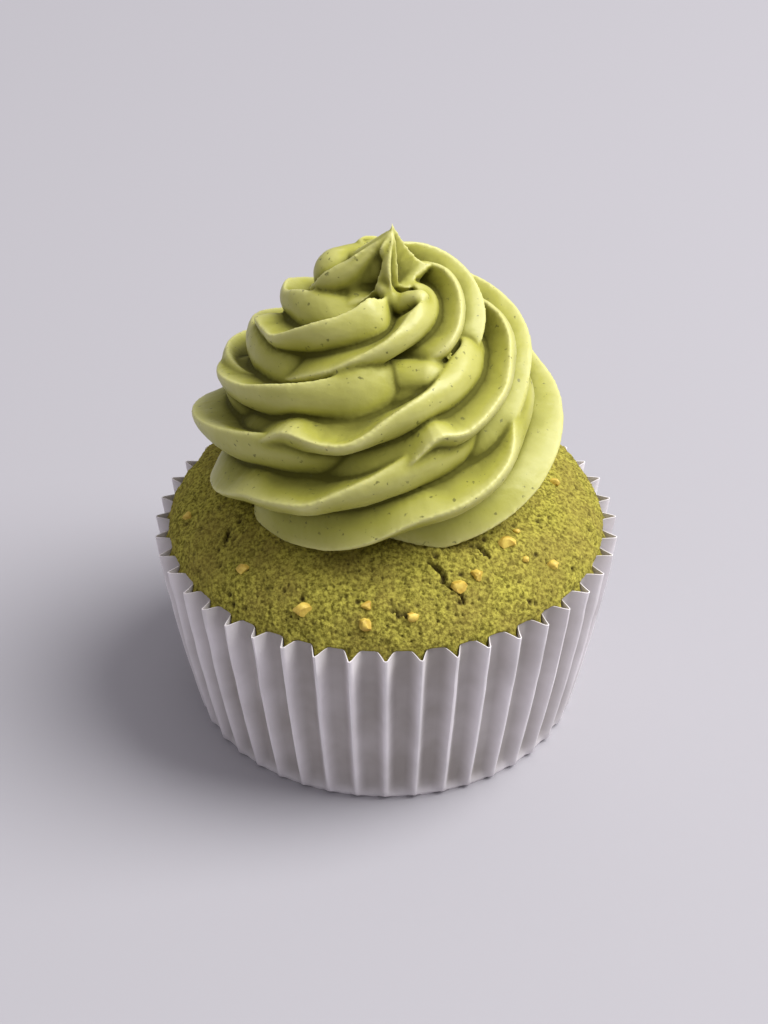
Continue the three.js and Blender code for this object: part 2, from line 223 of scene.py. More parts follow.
def noise_in(group, given):
    """Noise in a group, with the fineness, detail and roughness that the group is given."""
    place = group.nodes.new("ShaderNodeTexCoord")
    texture = group.nodes.new("ShaderNodeTexNoise")
    group.links.new(place.outputs["Object"], texture.inputs["Vector"])
    group.links.new(given.outputs["Fineness"], texture.inputs["Scale"])
    group.links.new(given.outputs["Detail"], texture.inputs["Detail"])
    group.links.new(given.outputs["Roughness"], texture.inputs["Roughness"])
    return texture.outputs["Fac"]


mottle_numbers = ("Fineness", "Detail", "Roughness", "From Min", "From Max", "To Min", "To Max")
mottle, mottle_given, mottle_result = node_group("mottle", mottle_numbers, "Mask", "NodeSocketFloat")
mottle_range = mottle.nodes.new("ShaderNodeMapRange")
for limit in mottle_numbers[3:]:
    mottle.links.new(mottle_given.outputs[limit], mottle_range.inputs[limit])
mottle.links.new(noise_in(mottle, mottle_given), mottle_range.inputs["Value"])
mottle.links.new(mottle_range.outputs["Result"], mottle_result.inputs["Mask"])

grain_numbers = ("Fineness", "Detail", "Roughness", "Strength", "Distance")
grain, grain_given, grain_result = node_group("grain", grain_numbers, "Normal", "NodeSocketVector")
grain_bump = grain.nodes.new("ShaderNodeBump")
grain.links.new(grain_given.outputs["Strength"], grain_bump.inputs["Strength"])
grain.links.new(grain_given.outputs["Distance"], grain_bump.inputs["Distance"])
grain.links.new(noise_in(grain, grain_given), grain_bump.inputs["Height"])
grain.links.new(grain_bump.outputs["Normal"], grain_result.inputs["Normal"])


def placed(tree, group, numbers, values):
    """A node group in a material, with that material's own values."""
    node = tree.nodes.new("ShaderNodeGroup")
    node.node_tree = group
    for number, value in zip(numbers, values):
        node.inputs[number].default_value = value
    return node


def mottled(tree, size, detail=3.0, rough=0.5, span=(0.0, 1.0), shares=(0.0, 1.0)):
    """A mask of spots of a size in millimetres: it goes through the shares as noise crosses the span."""
    values = (1 / (size * millimetre), detail, rough, *span, *shares)
    return placed(tree, mottle, mottle_numbers, values).outputs["Mask"]


def grained(tree, shader, size, detail, rough, strength, height):
    """Gives a shader a fine grain, with its size and height in millimetres."""
    values = (1 / (size * millimetre), detail, rough, strength, height * millimetre)
    tree.links.new(placed(tree, grain, grain_numbers, values).outputs["Normal"], shader.inputs["Normal"])


def measured(tree, name):
    """The value that a piece's own points hold under a name."""
    node = tree.nodes.new("ShaderNodeAttribute")
    node.attribute_name = name
    return node.outputs["Fac"]


case = bmesh.new()
pleat_shade_layer = case.verts.layers.float.new("pleat_valley_shade")
case_sides = pleats * steps_a_pleat
case_floor_radius = case_base_radius - case_foot_round
bmesh.ops.create_circle(case, cap_ends=True, cap_tris=True, segments=case_sides, radius=case_floor_radius)
edge = [e for e in case.edges if e.is_boundary]
for level in range(case_levels + 1):
    grown = bmesh.ops.extrude_edge_only(case, edges=edge)["geom"]
    edge = [g for g in grown if isinstance(g, bmesh.types.BMEdge) and g.is_boundary]
    height = case_foot_round + (case_height - case_foot_round) * level / case_levels
    for point in [g for g in grown if isinstance(g, bmesh.types.BMVert)]:
        azimuth = azimuth_of(point.co)
        pleat, away, fold = pleat_share(azimuth)
        top = pleat_tops[pleat] * (height / case_height) ** rim_power * (1 - fold)
        point.co = outward(azimuth) * pleat_radius(azimuth, height) + Vector((0, 0, height + top))
        # Each point keeps how much painted shade it takes: most in the inner folds, none on the outer folds,
        # fading out at the foot
        point[pleat_shade_layer] = fold * eased(height, 0, pleat_foot_height)
bmesh.ops.recalc_face_normals(case, faces=case.faces)
bmesh.ops.solidify(case, geom=case.faces, thickness=case_paper)
bmesh.ops.recalc_face_normals(case, faces=case.faces)
in_metres(case)

paper, paper_shader, paper_tree = principled("baking_paper", paper_white, paper_roughness)
# The paper's colour turns towards painted shade in the pleat valleys, warmed as if lit by the cake; random
# blotches move it a little either way
paper_shade_factor = paper_tree.nodes.new("ShaderNodeMath")
paper_shade_factor.operation = "MULTIPLY_ADD"
paper_shade_factor.inputs[1].default_value = pleat_shade_share
paper_tree.links.new(measured(paper_tree, "pleat_valley_shade"), paper_shade_factor.inputs[0])
soak_spots = mottled(paper_tree, soak_spot_size, span=(0.35, 0.7), shares=(-0.1, 0.25))
paper_tree.links.new(soak_spots, paper_shade_factor.inputs[2])
paper_shade_mix = paper_tree.nodes.new("ShaderNodeMix")
paper_shade_mix.data_type = "RGBA"
paper_shade_mix.inputs["A"].default_value = (*paper_crease, 1)
paper_shade_mix.inputs["B"].default_value = (*paper_shade_colour, 1)
paper_tree.links.new(paper_shade_factor.outputs["Value"], paper_shade_mix.inputs["Factor"])
paper_tree.links.new(paper_shade_mix.outputs["Result"], paper_shader.inputs["Base Color"])
grained(paper_tree, paper_shader, size=0.5, detail=3, rough=0.5, strength=0.25, height=0.1)
paper_glow = paper_tree.nodes.new("ShaderNodeBsdfTranslucent")
paper_tree.links.new(paper_shade_mix.outputs["Result"], paper_glow.inputs["Color"])
paper_blend = paper_tree.nodes.new("ShaderNodeMixShader")
paper_blend.inputs["Fac"].default_value = paper_glow_share
paper_tree.links.new(paper_shader.outputs["BSDF"], paper_blend.inputs[1])
paper_tree.links.new(paper_glow.outputs["BSDF"], paper_blend.inputs[2])
paper_tree.links.new(paper_blend.outputs["Shader"], paper_tree.nodes["Material Output"].inputs["Surface"])

case_piece = finished_piece(case, "pleated_case", paper, crease_angle)
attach(case_piece, "root")
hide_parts("paper_case")

# Sponge
# A green sponge baked in its case: it fills the paper and rises over the rim in a low cracked dome,
# with an open crumb of grains, pores and small lumps all over its dry top.
gap = 0.3
floor_paper = 0.4
wall_paper = 0.35
foot = floor_paper + gap
side_shares = (0.3, 0.6, 0.85)
side_heights = [foot + 2, *(share * case_height for share in side_shares)]
side_heights += [case_height - 1.6, case_height - 0.5]
cake_clearance = 0.12
fold_space = 0.35
fold_sag = 0.8
sag_height = 0.8 * case_height
dome_centre = 26.3
dome_radius = 30.8
dome_rise = 14.4
dome_sides = 960
crumb_edge = 15.5
crumb_fade = 2.5
crumb_rings = 76
rim_rings = 5
rim_relief = 0.4
inner_rings = (12.0, 7.0, 2.0)
upward_lean = 2
crack_depth = 1.1
crack_core = 0.05
crack_width = 0.48
# Depth from which a crack is painted fully dark with painted shade
crack_shade_depth = 0.8
cracks = [
    [(15.5, 21.8), (18.5, 23.4), (18.2, 24.6), (21.5, 25.8), (22.5, 27)],
    [(33, 21), (35.5, 22), (36.5, 23.2)],
    [(2, 27), (5.5, 27.6)],
    [(-61, 24.4), (-59, 25.4)],
    [(118, 22.6), (124, 24.2), (122, 26.4)],
    [(196, 23), (203, 24.6), (201, 27)],
]
crack_routes = [[outward(azimuth) * reach for azimuth, reach in chain] for chain in cracks]

# Height and fineness of the crumb's lumps and grains, from broad to small, and of a crack's ragged edges
crumb_lumps = [(0.26, 0.22), (0.20, 0.5), (0.12, 1.2), (0.14, 2.6), (0.14, 4.2)]
crack_rags = [(0.35, 1.1), (0.25, 2.9)]

# Pores lie in cells, and only some cells hold one, more of them where the crumb is open
pore_depth = 0.55
open_fineness = 0.3
pore_sorts = [
    {"fineness": 0.62, "draw": 3.7, "core": 0.08, "edge": 0.34, "rare": 0.2, "sure": 0.5, "full": 1.0},
    {"fineness": 1.35, "draw": 5.3, "core": 0.08, "edge": 0.38, "rare": 0.0, "sure": 0.4, "full": 0.8},
]
sponge_green = (0.37, 0.32, 0.06)
crumb_tones = [(0.38, (0.15, 0.13, 0.016)), (0.63, (0.50, 0.45, 0.075))]
baked_brown = (0.25, 0.185, 0.045)
speck_brown = (0.06, 0.042, 0.01)
# Pores and cracks are painted near black: painted shade in the recesses
pore_shade = (0.05, 0.035, 0.012)
pore_shade_share = 0.9
crumb_roughness = 0.9
crumb_specular = 0.15


def inside_radius(height):
    """Radius inside the case's inner folds at a height, with room for the paper of the solid case."""
    return fold_radius(height) - pleat_depth(height) - wall_paper - gap


def dome_height(radius):
    """Height of the dome's smooth surface at a distance from the axis."""
    return dome_centre + dome_rise * math.sqrt(max(0.0, 1 - (radius / dome_radius) ** 2))


def relief(place, layers):
    """Height of layered noise at a place, from pairs of height and fineness."""
    return sum(height * noise.noise(place * fineness) for height, fineness in layers)


def distance_from(place, start, end):
    """Distance of a place from the straight line between two others."""
    run = end - start
    share = min(max((place - start).dot(run) / run.dot(run), 0.0), 1.0)
    return (place - start - run * share).length


def crack_sink(place):
    """How deep a place on the dome lies in a crack."""
    flat = Vector((place.x, place.y, 0))
    nearest = min(distance_from(flat, *line) for route in crack_routes for line in zip(route, route[1:]))
    return crack_depth * (1 - eased(nearest + relief(place, crack_rags), crack_core, crack_width))


def pore_at(place, sort, openness):
    """How far a place lies in a pore of a sort, 0 to 1."""
    distances, centres = noise.voronoi(place * sort["fineness"])
    chance = noise.cell(centres[0] * sort["draw"]) + openness
    inside = 1 - eased(distances[0], sort["core"], sort["edge"])
    return sort["full"] * inside * eased(chance, sort["rare"], sort["sure"])


def crumb(place):
    """Height of the crumb at a place, and how far that place lies in a pore."""
    openness = noise.noise(place * open_fineness)
    hollow = max(pore_at(place, sort, openness) for sort in pore_sorts)
    return relief(place, crumb_lumps) - pore_depth * hollow, hollow


def next_ring(edges, radius, height):
    """Extrudes an open edge of the cake to a new ring and returns its edges and its points."""
    grown = bmesh.ops.extrude_edge_only(cake, edges=edges)["geom"]
    points = [g for g in grown if isinstance(g, bmesh.types.BMVert)]
    for point in points:
        point.co = outward(azimuth_of(point.co)) * radius + Vector((0, 0, height))
    return [g for g in grown if isinstance(g, bmesh.types.BMEdge) and g.is_boundary], points


def ramp(tree, share, tones):
    """A colour that runs through tones, pairs of a share and a colour, as the share rises."""
    node = tree.nodes.new("ShaderNodeValToRGB")
    stops = node.color_ramp.elements
    for stop, (place, colour) in zip((stops[0], stops[1]), (tones[0], tones[-1])):
        stop.position = place
        stop.color = (*colour, 1)
    for place, colour in tones[1:-1]:
        stops.new(place).color = (*colour, 1)
    tree.links.new(share, node.inputs["Fac"])
    return node.outputs["Color"]


def tinted(tree, share, plain, tint):
    """A colour turned towards a tint by a share."""
    node = tree.nodes.new("ShaderNodeMix")
    node.data_type = "RGBA"
    node.inputs["B"].default_value = (*tint, 1)
    tree.links.new(share, node.inputs["Factor"])
    tree.links.new(plain, node.inputs["A"])
    return node.outputs["Result"]


cake = bmesh.new()
crumb_shade_layer = cake.verts.layers.float.new("hollow")
foot_radius = inside_radius(foot) - 2 * case_foot_round
bmesh.ops.create_circle(cake, cap_ends=True, cap_tris=True, segments=dome_sides, radius=foot_radius)
bmesh.ops.translate(cake, vec=(0, 0, foot), verts=cake.verts)
edge = [e for e in cake.edges if e.is_boundary]
for height in side_heights:
    edge, points = next_ring(edge, inside_radius(height), height)
    for point in points:
        azimuth = azimuth_of(point.co)
        fold = pleat_share(azimuth)[2]
        paper_inside = pleat_radius(azimuth, height) - case_paper - cake_clearance
        radius = paper_inside - fold_space * pleat_depth(height) * (1 - fold)
        sag = fold_sag * (1 - fold) if height > sag_height else 0
        point.co = outward(azimuth) * radius + Vector((0, 0, height - sag))
rim_angle = math.asin((case_height + gap - dome_centre) / dome_rise)
crumb_angle = math.acos(crumb_edge / dome_radius)
for ring in range(crumb_rings + 1):
    angle = rim_angle + (crumb_angle - rim_angle) * ring / crumb_rings
    radius = dome_radius * math.cos(angle)
    edge, points = next_ring(edge, radius, dome_centre + dome_rise * math.sin(angle))
    settled = rim_relief + (1 - rim_relief) * eased(ring, 0, rim_rings)
    open_top = eased(radius, crumb_edge, crumb_edge + crumb_fade)
    up = Vector((0, 0, math.sin(angle) * upward_lean))
    for point in points:
        height, hollow = crumb(point.co)
        sink = crack_sink(point.co)
        lean = outward(azimuth_of(point.co)) * math.cos(angle) + up
        point.co += lean.normalized() * (height * open_top * settled) - Vector((0, 0, sink * open_top))
        # Painted shade: a point's value is how far it lies in a pore or down a crack
        point[crumb_shade_layer] = max(hollow, min(1.0, sink / crack_shade_depth)) * open_top
for radius in inner_rings:
    edge, points = next_ring(edge, radius, dome_height(radius))
bmesh.ops.holes_fill(cake, edges=edge)
bmesh.ops.recalc_face_normals(cake, faces=cake.faces)
in_metres(cake)

sponge, sponge_shader, sponge_tree = principled("sponge_crumb", sponge_green, crumb_roughness)
sponge_shader.inputs["Specular IOR Level"].default_value = crumb_specular
crumb_colour = ramp(sponge_tree, mottled(sponge_tree, 0.5, 3, 0.6), crumb_tones)
baked_patches = mottled(sponge_tree, 6, span=(0.4, 0.65), shares=(0, 0.42))
crumb_colour = tinted(sponge_tree, baked_patches, crumb_colour, baked_brown)
crumb_specks = mottled(sponge_tree, 1.0, 4, 0.7, span=(0.585, 0.68), shares=(0, 0.8))
crumb_colour = tinted(sponge_tree, crumb_specks, crumb_colour, speck_brown)
# Painted shade darkens the pores and cracks
pore_shade_mask = sponge_tree.nodes.new("ShaderNodeMath")
pore_shade_mask.operation = "MULTIPLY"
pore_shade_mask.inputs[1].default_value = pore_shade_share
sponge_tree.links.new(measured(sponge_tree, "hollow"), pore_shade_mask.inputs[0])
crumb_colour = tinted(sponge_tree, pore_shade_mask.outputs["Value"], crumb_colour, pore_shade)
sponge_tree.links.new(crumb_colour, sponge_shader.inputs["Base Color"])
grained(sponge_tree, sponge_shader, size=0.7, detail=4, rough=0.6, strength=0.85, height=0.35)

sponge_piece = finished_piece(cake, "sponge_dome", sponge)
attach(sponge_piece, "root")
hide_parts("sponge")

# Chopped nuts
# Roasted nut kernels chopped small and baked into the top of the sponge, so that each bit is a rough
# yellow lump with a few flat cuts, sunk a little into the crumb round it.
nuts = [
    (-80, 27.8, 1.6), (-46, 26.7, 1.8), (-23, 28.1, 2.5), (-5.5, 26.8, 1.7), (-5.2, 28.6, 2.3),
    (7, 27.9, 1.9), (22, 25.6, 2.3), (29, 24.9, 2.0), (45, 22.9, 2.6), (52, 22.3, 1.1),
    (47, 25.6, 1.1), (54, 27.8, 1.7), (87, 23.4, 1.6),
]
back_nuts = 12
back_start = 100
back_span = 160
back_slip = 0.8
back_reach = (23, 5)
back_size = (1.2, 0.7)
nut_width = 0.85
nut_rise = 0.8
nut_sink = 0.36
nut_cuts = 5
cut_flatness = 0.7
cut_reach = (0.28, 0.4)
nut_lumps = 0.12
lump_fineness = 2
nut_edge_angle = 35
nut_yellow = (0.72, 0.50, 0.17)
nut_tones = [(0.3, (0.48, 0.29, 0.03)), (0.7, (0.84, 0.64, 0.12))]
nut_roughness = 0.55
nut_draw = random.Random(7)
for i in range(back_nuts):
    back_azimuth = back_start + back_span * (i + back_slip * nut_draw.random()) / back_nuts
    reach = back_reach[0] + back_reach[1] * nut_draw.random()
    nuts.append((back_azimuth, reach, back_size[0] + back_size[1] * nut_draw.random()))

chopped = bmesh.new()
for azimuth, reach, size in nuts:
    bit = bmesh.new()
    bmesh.ops.create_icosphere(bit, subdivisions=2, radius=size / 2)
    for cut in range(nut_cuts):
        way = Vector([nut_draw.gauss(0, spread) for spread in (1, 1, cut_flatness)]).normalized()
        whole = bit.verts[:] + bit.edges[:] + bit.faces[:]
        cut_place = way * size * nut_draw.uniform(*cut_reach)
        bmesh.ops.bisect_plane(bit, geom=whole, plane_co=cut_place, plane_no=way, clear_outer=True)
        bmesh.ops.holes_fill(bit, edges=[e for e in bit.edges if e.is_boundary])
    for point in bit.verts:
        lump = noise.noise(point.co * lump_fineness + Vector((azimuth, reach, 0)))
        point.co += point.co.normalized() * nut_lumps * size * lump
    bmesh.ops.recalc_face_normals(bit, faces=bit.faces)
    rise = dome_height(reach) + size * (0.5 * nut_rise - nut_sink)
    bmesh.ops.scale(bit, vec=(1.0, nut_width, nut_rise), verts=bit.verts)
    bmesh.ops.translate(bit, vec=outward(azimuth) * reach + Vector((0, 0, rise)), verts=bit.verts)
    bit_mesh = bpy.data.meshes.new("nut_bit")
    bit.to_mesh(bit_mesh)
    bit.free()
    chopped.from_mesh(bit_mesh)
    bpy.data.meshes.remove(bit_mesh)
in_metres(chopped)

nut, nut_shader, nut_tree = principled("nut_kernel", nut_yellow, nut_roughness)
nut_tree.links.new(ramp(nut_tree, mottled(nut_tree, 1.3), nut_tones), nut_shader.inputs["Base Color"])
grained(nut_tree, nut_shader, size=0.4, detail=3, rough=0.5, strength=0.5, height=0.1)

nut_piece = finished_piece(chopped, "chopped_nuts", nut, nut_edge_angle)
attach(nut_piece, "root")
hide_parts("sponge")

# Icing swirl
# Green buttercream piped through an open star nozzle with six teeth, in one rope that is coiled nearly
# four times round and up, then pulled off in a peak. The nozzle isn't turned, so each ridge of the
# rope keeps its compass direction and slants across the coils.
rope_start = -200
rope_stations = [
    {"turns": 0, "reach": 13.5, "height": 43.5, "rope": 6},
    {"turns": 0.12, "reach": 17.4, "height": 44.6, "rope": 9},
    {"turns": 0.5, "reach": 15.8, "height": 45.2, "rope": 9.8},
    {"turns": 1, "reach": 14.2, "height": 47.6, "rope": 9.3},
    {"turns": 1.5, "reach": 14.3, "height": 53, "rope": 8.3},
    {"turns": 2, "reach": 12, "height": 56, "rope": 7.3},
    {"turns": 2.5, "reach": 8, "height": 60.5, "rope": 7.4},
    {"turns": 3, "reach": 6.1, "height": 63.9, "rope": 5.9},
    {"turns": 3.3, "reach": 4, "height": 65.8, "rope": 5.8},
    {"turns": 3.5, "reach": 1.4, "height": 71.8, "rope": 2.3},
    {"turns": 3.7, "reach": 0.9, "height": 74.8, "rope": 0.4},
]
whole_turns = rope_stations[-1]["turns"]
rope_ridges = 6
ridge_turn = -17.5
groove_depth = 0.48
groove_share = 0.42
belly_power = 1.5
ridge_points = 24
rope_step = 3.0
look_ahead = 0.003
rope_wander = 0.1
wander_fineness = 0.25
swirl_heart = [(15.5, 37), (15.5, 43), (14, 50), (11.5, 56), (7, 60.5), (4, 64), (2, 67)]
heart_sides = 96
seat_rings = 48
seat_sides = 192
weld_distance = 1e-4

# Crests that run up to the tip where the last of the rope was pulled off, each from its foot upwards
# and all in anticlockwise order; the faces between them are hollow
peak_crests = [
    [
        (3.2, -2.4, 67.6), (0.8, -2.4, 67.7), (-0.5, -2.3, 69.6),
        (-0.2, -1.9, 71.5), (0.3, -1.3, 73.4), (0.8, -0.6, 75.2),
    ],
    [
        (6.0, 1.2, 69.0), (5.0, 1.4, 69.4), (4.0, 1.4, 70.2),
        (2.8, 1.0, 72.0), (1.9, 0.5, 73.8), (1.1, -0.1, 75.3),
    ],
    [
        (3.0, 5.5, 65.5), (2.6, 4.2, 67.2), (2.2, 3.0, 69.2),
        (1.8, 2.0, 71.4), (1.4, 1.2, 73.4), (1.0, 0.4, 75.2),
    ],
    [
        (-5.6, 2.2, 68.6), (-4.8, 2.0, 70.2), (-3.6, 1.6, 71.4),
        (-2.2, 1.0, 72.7), (-0.7, 0.6, 74.0), (0.6, 0.1, 75.2),
    ],
    [
        (-8.0, -1.8, 68.6), (-6.2, -1.8, 70.4), (-4.4, -1.6, 72.0),
        (-2.8, -1.2, 72.9), (-0.7, -0.9, 74.1), (0.5, -0.4, 75.1),
    ],
]
peak_axis = (0.9, 0.2)
peak_hollow = 0.13
peak_foot = 3.0
peak_foot_share = 0.6
tip_rise = 1.3

# Places where the soft icing ran together: both ends of each rounded dab and its radius
dabs = [
    ((-6.0, 2.5, 66.8), (-0.5, 4.5, 67.0), 3.7),
    ((0.5, -11.2, 58.2), (5.4, -11.8, 58.9), 3.2),
    ((0.5, -12.6, 56.7), (5.2, -13.0, 57.3), 3.0),
    ((-0.2, -3.3, 68.0), (0.7, -3.9, 66.6), 1.1),
    ((0.7, -3.9, 66.6), (1.9, -4.2, 66.2), 1.3),
    ((1.9, -4.2, 66.2), (3.2, -4.6, 67.0), 1.3),
    ((3.2, -4.6, 67.0), (4.4, -5.2, 67.5), 1.3),
]
dab_roundness = 4

# Where a ridge was pressed or dragged out of its even course: ridge, azimuth along the coils, how many
# degrees it reaches either way, and how far the ridge is moved outwards and upwards there
ridge_nudges = [
    (1, 348, 12, 1.3, -1.4), (1, 322, 9, -0.3, 1.6), (1, -50, 9, 0, 1.0), (1, -24, 9, 0.7, -0.7),
    (1, 14, 12, -0.3, 0.9), (0, -58, 14, 2.0, 0.3), (0, 8, 13, -0.6, 1.3), (0, 62, 13, -2.0, 0),
    (0, 377, 8, -0.3, 2.2), (0, 428, 14, -0.6, -0.2), (5, 436, 22, -1.3, 0), (5, 110, 10, -0.9, 0),
    (2, 258, 12, 0.3, 0.8), (2, 297, 10, 0, -0.5), (2, 352, 13, -0.3, 1.4), (2, 618, 9, 0.9, 1.4),
    (2, 650, 14, 0.6, -1.0), (2, 710, 10, -0.4, 0.8), (3, 618, 10, 0.5, -0.8), (0, 790, 25, -0.5, -0.2),
    (1, 1036, 26, -4.0, -3.0), (0, 1014, 24, -2.6, -1.8), (1, 778, 20, 0, -0.8), (1.4, 742, 12, -2.6, -0.6),
    (1.4, 398, 14, -3.6, -0.8), (0.45, 62, 14, -3.0, -0.5), (1.4, 6, 12, -2.6, -0.6),
    (0, 716, 26, -5.0, 1.2),
]
nudge_width = 0.65
nudge_least = 0.01

# The skin that joins coils, peak and dabs: its fineness, how it is evened, and its last small waves
skin_step = 0.26
skin_share = 0.56
skin_smoothing = 3
smoothing_pull = 0.5
skin_waves = [(0.05, 0.7), (0.02, 1.9)]

# How hollow the icing is at a point, 0.5 where it is even, paints shade into its colour in the hollows and
# light on the crests, and sets its gloss
hollow_smoothing = 50
hollow_range = 1.0
icing_green = (0.37, 0.36, 0.055)
icing_shade_tones = [(0.15, (0.61, 0.59, 0.21)), (0.45, (0.39, 0.38, 0.06)), (0.74, (0.09, 0.086, 0.002))]
icing_roughness = 0.42
hollow_roughness = 0.9
gloss_loss = (0.42, 0.66)
icing_specular = 0.45
glow_share = 0.1
glow_reach = (1.0, 0.9, 0.35)
glow_depth = 1.2
speck_green = (0.10, 0.10, 0.02)


def ridge_push(pitch, azimuth):
    """How far the skin is moved at a place round the rope, counted in ridges, and an azimuth along it."""
    push = Vector((0, 0, 0))
    for ridge, middle, reach, out, up in ridge_nudges:
        aside = abs((pitch - ridge + rope_ridges / 2) % rope_ridges - rope_ridges / 2)
        along = math.exp(-(((azimuth - middle) / reach) ** 2))
        if aside < nudge_width and along > nudge_least:
            nudge = outward(middle) * out + Vector((0, 0, up))
            push += nudge * along * eased(nudge_width - aside, 0, nudge_width)
    return push


def along_rope(turns, key):
    """A station value at a number of turns, on a smooth curve through the stations."""
    last = len(rope_stations) - 1
    i = 0
    while i < last - 1 and turns > rope_stations[i + 1]["turns"]:
        i += 1
    start, end = rope_stations[i], rope_stations[i + 1]
    before, after = rope_stations[max(i - 1, 0)], rope_stations[min(i + 2, last)]
    span = end["turns"] - start["turns"]
    share = (turns - start["turns"]) / span
    leave = (end[key] - before[key]) / (end["turns"] - before["turns"]) * span
    arrive = (after[key] - start[key]) / (after["turns"] - start["turns"]) * span
    square, cube = share**2, share**3
    first = (2 * cube - 3 * square + 1) * start[key] + (cube - 2 * square + share) * leave
    return first + (3 * square - 2 * cube) * end[key] + (cube - square) * arrive


def rope_middle(turns):
    """Middle of the rope at a number of turns."""
    out = outward(rope_start + 360 * turns) * along_rope(turns, "reach")
    return out + Vector((0, 0, along_rope(turns, "height")))


def star_reach(share):
    """Distance from the rope's middle to its skin, as a share of its radius, from a ridge up to the next."""
    if share < groove_share:
        sink = 1 - (1 - share / groove_share) ** 2
    else:
        sink = (1 - (share - groove_share) / (1 - groove_share)) ** belly_power
    return 1 - groove_depth * sink


def set_ring(points, turns):
    """Puts a ring of points on the rope's star section at a number of turns."""
    azimuth = rope_start + 360 * turns
    ahead = (rope_middle(turns + look_ahead) - rope_middle(turns - look_ahead)).normalized()
    out = outward(azimuth)
    out = (out - ahead * out.dot(ahead)).normalized()
    over = out.cross(ahead)
    around = rope_ridges * ridge_points
    for spoke, point in enumerate(points):
        share = (spoke % ridge_points) / ridge_points
        angle = math.radians(azimuth + ridge_turn + 360 * spoke / around)
        reach = along_rope(turns, "rope") * star_reach(share)
        point.co = rope_middle(turns) + out * (reach * math.cos(angle)) + over * (reach * math.sin(angle))
        wander = rope_wander * noise.noise_vector(point.co * wander_fineness)
        point.co += ridge_push(spoke / ridge_points, azimuth) + wander


def turned(mesh_tool, profile, sides):
    """A solid turned from a profile of radius and height pairs about the vertical axis."""
    points = [mesh_tool.verts.new((radius, 0, height)) for radius, height in profile]
    line = [mesh_tool.edges.new(pair) for pair in zip(points, points[1:])]
    round_z = {"cent": (0, 0, 0), "axis": (0, 0, 1), "angle": 2 * math.pi}
    bmesh.ops.spin(mesh_tool, geom=points + line, steps=sides, use_merge=True, **round_z)
    bmesh.ops.remove_doubles(mesh_tool, verts=mesh_tool.verts, dist=weld_distance)
    bmesh.ops.recalc_face_normals(mesh_tool, faces=mesh_tool.faces)


def ring_of_peak(mesh_tool, level):
    """Points round the pulled peak at a level: its crests and the bottoms of the hollows between them."""
    axis = Vector((*peak_axis, 0))
    crests = [Vector(crest[max(level, 0)]) for crest in peak_crests]
    if level < 0:
        for crest in crests:
            crest.xy = axis.xy + peak_foot_share * (crest.xy - axis.xy)
            crest.z -= peak_foot
    places = []
    for crest, after in zip(crests, crests[1:] + crests[:1]):
        middle = (crest + after) / 2
        inward = axis - Vector((middle.x, middle.y, 0))
        places += [crest, middle + inward * peak_hollow]
    return [mesh_tool.verts.new(place) for place in places]


def add_peak(mesh_tool):
    """The pulled peak, from its foot inside the coils to the tip."""
    rings = [ring_of_peak(mesh_tool, level) for level in range(-1, len(peak_crests[0]))]
    mesh_tool.faces.new(rings[0][::-1])
    for below, above in zip(rings, rings[1:]):
        for i in range(len(below)):
            nxt = (i + 1) % len(below)
            mesh_tool.faces.new((below[i], below[nxt], above[nxt], above[i]))
    tip = mesh_tool.verts.new((*peak_axis, peak_crests[0][-1][2] + tip_rise))
    for i in range(len(rings[-1])):
        mesh_tool.faces.new((rings[-1][i], rings[-1][(i + 1) % len(rings[-1])], tip))


def add_dab(mesh_tool, start, end, radius):
    """A rounded dab of icing from one place to another."""
    start, end = Vector(start), Vector(end)
    ball = bmesh.ops.create_icosphere(mesh_tool, subdivisions=dab_roundness, radius=radius)["verts"]
    for point in ball:
        point.co += end if point.co.dot(end - start) > 0 else start


def as_tool(mesh_tool, name):
    """A bare object that modifiers can join or cut with."""
    mesh = bpy.data.meshes.new(name)
    mesh_tool.to_mesh(mesh)
    mesh_tool.free()
    tool = bpy.data.objects.new(name, mesh)
    bpy.context.scene.collection.objects.link(tool)
    return tool


def keep_largest(mesh_tool):
    """Deletes every body of a mesh but its largest."""
    loose = set(mesh_tool.verts)
    bodies = []
    while loose:
        body = [loose.pop()]
        for point in body:
            beside = [e.other_vert(point) for e in point.link_edges]
            body += [other for other in beside if other in loose]
            loose.difference_update(beside)
        bodies.append(body)
    bodies.sort(key=len)
    for body in bodies[:-1]:
        bmesh.ops.delete(mesh_tool, geom=body, context="VERTS")


rope = bmesh.new()
turned(rope, [(0, swirl_heart[0][1]), *swirl_heart, (0, swirl_heart[-1][1])], heart_sides)
rope_steps = round(whole_turns * 360 / rope_step)
ring = bmesh.ops.create_circle(rope, cap_ends=True, segments=rope_ridges * ridge_points, radius=1)["verts"]
set_ring(ring, 0)
for step in range(1, rope_steps + 1):
    edges = [rope.edges.get(pair) for pair in zip(ring, ring[1:] + ring[:1])]
    grown = bmesh.ops.extrude_edge_only(rope, edges=edges)["geom"]
    fresh = {g for g in grown if isinstance(g, bmesh.types.BMVert)}
    beside = [[e.other_vert(point) for e in point.link_edges] for point in ring]
    ring = [next(other for other in others if other in fresh) for others in beside]
    set_ring(ring, whole_turns * step / rope_steps)
bmesh.ops.contextual_create(rope, geom=[e for e in rope.edges if e.is_boundary])
add_peak(rope)
for start, end, radius in dabs:
    add_dab(rope, start, end, radius)
bmesh.ops.recalc_face_normals(rope, faces=rope.faces)
swirl = as_tool(rope, "icing_rope")

seat = bmesh.new()
seat_profile = [(0, 0), (dome_radius + gap, 0)]
for number in range(seat_rings + 1):
    angle = math.pi / 2 * number / seat_rings
    seat_radius = 0 if number == seat_rings else (dome_radius + gap) * math.cos(angle)
    seat_profile.append((seat_radius, dome_centre + (dome_rise + gap) * math.sin(angle)))
turned(seat, seat_profile, seat_sides)
seat_tool = as_tool(seat, "seat")

